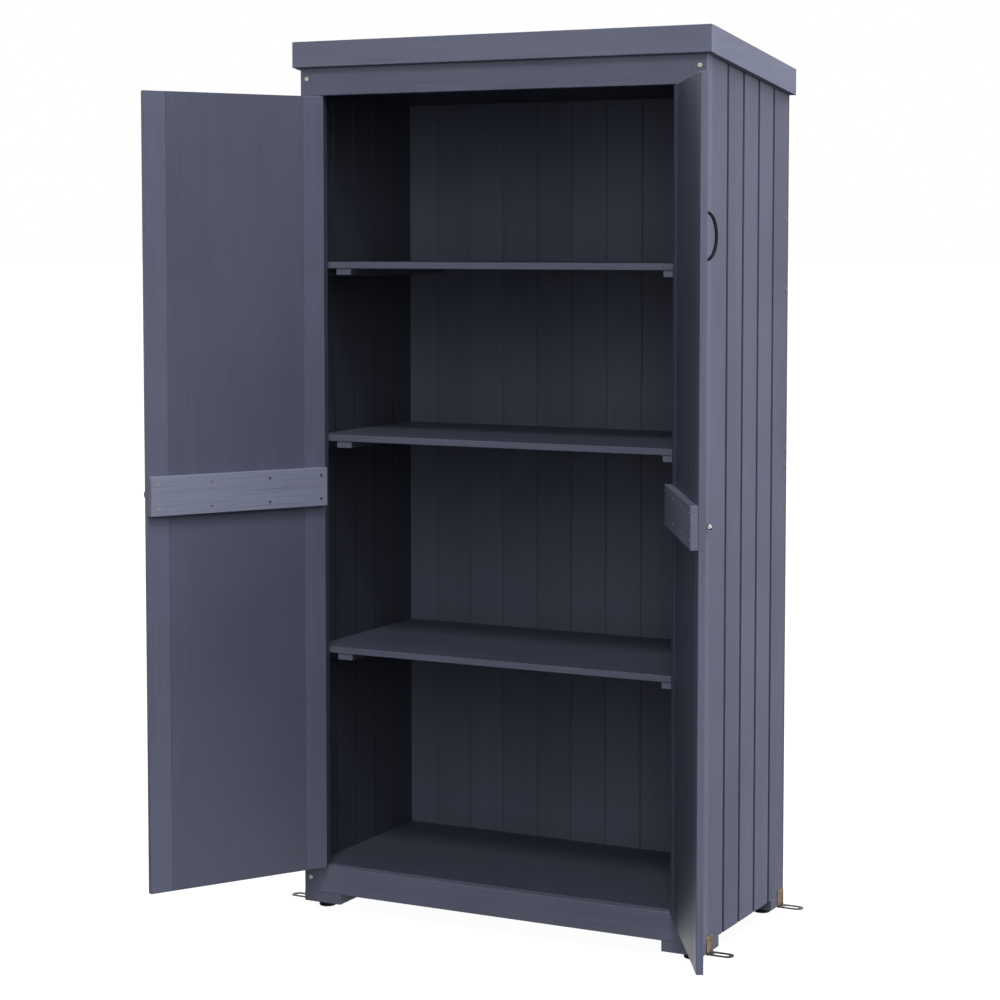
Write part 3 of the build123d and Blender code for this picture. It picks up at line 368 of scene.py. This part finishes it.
handle_black = black_coat("black_powder_coat", 0.38, 1400.0)
pad_black = black_coat("black_moulded_plastic", 0.55, 700.0)
felt = mineral_felt()

metal = {}
for n in nodes:
    if n.startswith("ground_anchor") or n == "anchor_screws":
        metal[n] = zinc
    elif n == "frame_screws":
        metal[n] = zinc_heads
    elif n.endswith("ledge_screws"):
        metal[n] = zinc_rubbed["left" if "left" in n else "right"]
    elif "hinge_leaves" in n or "hinge_pins" in n or n == "hinge_screws_frame" or n.endswith("hardware_screws"):
        metal[n] = hinge_steel
    elif n in ("bolt_plate", "bolt_keeper"):
        metal[n] = dull_steel
    elif n == "slide_bolt":
        metal[n] = bright_steel
    elif n.endswith("_handle"):
        metal[n] = handle_black
metal["foot_pads"] = pad_black
metal["roof_felt"] = felt


def give(obj, *materials):
    obj.data.materials.clear()
    for m in materials:
        obj.data.materials.append(m)


def long_arris_weights():
    """Node group that weights the long sharp edges of a piece and leaves hole rims alone."""
    group = bpy.data.node_groups.new("long_arris_weights", "GeometryNodeTree")
    group.interface.new_socket("Geometry", in_out="INPUT", socket_type="NodeSocketGeometry")
    group.interface.new_socket("Geometry", in_out="OUTPUT", socket_type="NodeSocketGeometry")
    add, link = group.nodes.new, group.links.new
    source, sink = add("NodeGroupInput"), add("NodeGroupOutput")
    angle, ends = add("GeometryNodeInputMeshEdgeAngle"), add("GeometryNodeInputMeshEdgeVertices")
    span = add("ShaderNodeVectorMath")
    span.operation = "DISTANCE"
    link(ends.outputs["Position 1"], span.inputs[0])
    link(ends.outputs["Position 2"], span.inputs[1])
    sharp, long = add("ShaderNodeMath"), add("ShaderNodeMath")
    both = add("ShaderNodeMath")
    sharp.operation = long.operation = "GREATER_THAN"
    both.operation = "MULTIPLY"
    link(angle.outputs["Unsigned Angle"], sharp.inputs[0])
    sharp.inputs[1].default_value = math.radians(36)
    link(span.outputs["Value"], long.inputs[0])
    long.inputs[1].default_value = 0.0042
    link(sharp.outputs[0], both.inputs[0])
    link(long.outputs[0], both.inputs[1])
    store = add("GeometryNodeStoreNamedAttribute")
    store.data_type, store.domain = "FLOAT", "EDGE"
    store.inputs["Name"].default_value = "bevel_weight_edge"
    link(source.outputs[0], store.inputs["Geometry"])
    link(both.outputs[0], store.inputs["Value"])
    link(store.outputs["Geometry"], sink.inputs[0])
    return group


def plane_faces():
    """Node group that shades every face flat: planed timber has no curved faces in sight."""
    group = bpy.data.node_groups.new("plane_faces", "GeometryNodeTree")
    group.interface.new_socket("Geometry", in_out="INPUT", socket_type="NodeSocketGeometry")
    group.interface.new_socket("Geometry", in_out="OUTPUT", socket_type="NodeSocketGeometry")
    source, sink = group.nodes.new("NodeGroupInput"), group.nodes.new("NodeGroupOutput")
    shade = group.nodes.new("GeometryNodeSetShadeSmooth")
    shade.inputs["Shade Smooth"].default_value = False
    group.links.new(source.outputs[0], shade.inputs["Geometry"])
    group.links.new(shade.outputs["Geometry"], sink.inputs[0])
    return group


arrises, planed = long_arris_weights(), plane_faces()


def ease(obj, width, edge_slot=None):
    """Eased arrises: the piece's long sharp edges get a narrow strip of their own."""
    weld = obj.modifiers.new("weld", "WELD")
    weld.merge_threshold = 0.000002
    weights = obj.modifiers.new("long_arrises", "NODES")
    weights.node_group = arrises
    bevel = obj.modifiers.new("eased_edges", "BEVEL")
    bevel.width = width
    bevel.segments = 2
    bevel.limit_method = "WEIGHT"
    bevel.use_clamp_overlap = False
    if edge_slot is not None:
        bevel.material = edge_slot
        obj.modifiers.new("plane_faces", "NODES").node_group = planed
    else:
        obj.modifiers.new("flat_faces", "WEIGHTED_NORMAL").weight = 60


for n, (body, edge) in wood.items():
    give(nodes[n], body, edge)
    if not n.startswith("back_panel"):
        ease(nodes[n], 0.0004 if "panel" in n else 0.0009, 1)
for n, m in metal.items():
    give(nodes[n], m)
    if n.startswith("ground_anchor") or n in ("bolt_plate", "bolt_keeper"):
        ease(nodes[n], 0.00025)

missing = sorted(set(nodes) - set(wood) - set(metal))
if missing:
    raise RuntimeError("no finish for " + ", ".join(missing))


# ---------------------------------------------------------------- floor, light, camera
def disc(name, radius, rings, steps):
    """A flat round floor made of rings of quads round a middle fan."""
    verts, faces = [(0.0, 0.0, 0.0)], []
    for r in range(1, rings + 1):
        d = radius * (r / rings) ** 2
        verts += [(d * math.cos(2 * math.pi * k / steps), d * math.sin(2 * math.pi * k / steps), 0.0) for k in range(steps)]
    for k in range(steps):
        faces.append((0, 1 + k, 1 + (k + 1) % steps))
    for r in range(1, rings):
        i, j = 1 + (r - 1) * steps, 1 + r * steps
        for k in range(steps):
            faces.append((i + k, j + k, j + (k + 1) % steps, i + (k + 1) % steps))
    mesh = bpy.data.meshes.new(name)
    mesh.from_pydata(verts, [], faces)
    obj = bpy.data.objects.new(name, mesh)
    scene.collection.objects.link(obj)
    return obj


floor = disc("studio_floor", 160.0, 12, 64)
s = Shade("pale_floor")
soft = s.noise(s.place, 0.7, 2.0)
s.shader(Base_Color=s.times((0.90, 0.90, 0.90), s.math("ADD", s.total((soft, 0.02)), 1.0)), Roughness=0.9)
s.bsdf.inputs["Specular IOR Level"].default_value = 0.1
give(floor, s.mat)
floor.visible_diffuse = False
floor.visible_glossy = False
only_floor = bpy.data.collections.new("only_floor")
only_floor.objects.link(floor)
not_floor = bpy.data.collections.new("not_floor")
not_floor.objects.link(floor)
not_floor.collection_objects[0].light_linking.link_state = "EXCLUDE"

world = bpy.data.worlds.new("studio")
scene.world = world
world.use_nodes = True
back = world.node_tree.nodes["Background"]
back.inputs["Color"].default_value = (1.0, 1.0, 1.0, 1.0)
back.inputs["Strength"].default_value = 1.0
world.cycles_visibility.diffuse = False
world.cycles_visibility.glossy = False


def from_side(azimuth, elevation, distance):
    """Place seen from the shed's front: azimuth to the right, elevation up, in degrees."""
    a, e = math.radians(azimuth), math.radians(elevation)
    return Vector((math.sin(a) * math.cos(e), -math.cos(a) * math.cos(e), math.sin(e))) * distance + Vector((0, 0, 0.85))


def softbox(name, azimuth, elevation, watts, size=7.0, distance=14.0):
    light = bpy.data.lights.new(name, "AREA")
    light.shape = "SQUARE"
    light.size = size
    light.energy = watts
    obj = bpy.data.objects.new(name, light)
    obj.location = from_side(azimuth, elevation, distance)
    obj.rotation_euler = (Vector((0, 0, 0.85)) - obj.location).to_track_quat("-Z", "Y").to_euler()
    obj.visible_camera = False
    scene.collection.objects.link(obj)
    # the floor has lamps of its own, and lets the low softboxes through
    obj.light_linking.receiver_collection = not_floor
    obj.light_linking.blocker_collection = not_floor
    return obj


LIGHTS = (
    ("right_high", 90, 55, 1039.0),
    ("right_rear", 120, 5, 610.0),
    ("right_front", 70, 30, 410.0),
    ("right_low", 95, -15, 394.0),
    ("front_high", 20, 55, 562.0, 2.6),
    ("front", 20, 30, 339.0, 6.0),
    ("front_level", 20, 5, 259.0),
    ("front_right", 45, 5, 90.0),
    ("left_front", -45, 5, 133.0),
    ("left", -85, 5, 279.0),
    ("left_high", -85, 30, 160.0),
    ("left_under", -125, -14, 400.0),
    ("behind", 180, 30, 900.0),
    ("behind_left", -130, 25, 800.0),
)
for light in LIGHTS:
    softbox(*light)

# wide soft light from straight above for the floor alone, part of it without shadow
for name, energy, shadow in (("floor_fill", 3.85, False), ("floor_light", 0.35, True)):
    lamp = bpy.data.lights.new(name, "SUN")
    lamp.energy = energy
    lamp.angle = math.radians(70)
    lamp.use_shadow = shadow
    obj = bpy.data.objects.new(name, lamp)
    obj.light_linking.receiver_collection = only_floor
    scene.collection.objects.link(obj)

lens = bpy.data.cameras.new("camera")
lens.sensor_width = 36.0
lens.lens = 88.06
lens.shift_y = -0.088
lens.clip_end = 400.0
camera = bpy.data.objects.new("camera", lens)
scene.collection.objects.link(camera)
yaw, tilt = math.radians(27.317), math.radians(3.967)
ahead = Vector((-math.sin(yaw) * math.cos(tilt), math.cos(yaw) * math.cos(tilt), -math.sin(tilt)))
camera.location = (2.1863, -4.4281, 1.3621)
camera.rotation_euler = ahead.to_track_quat("-Z", "Y").to_euler()
scene.camera = camera

scene.view_settings.view_transform = "Standard"
scene.view_settings.look = "None"

bpy.context.view_layer.update()
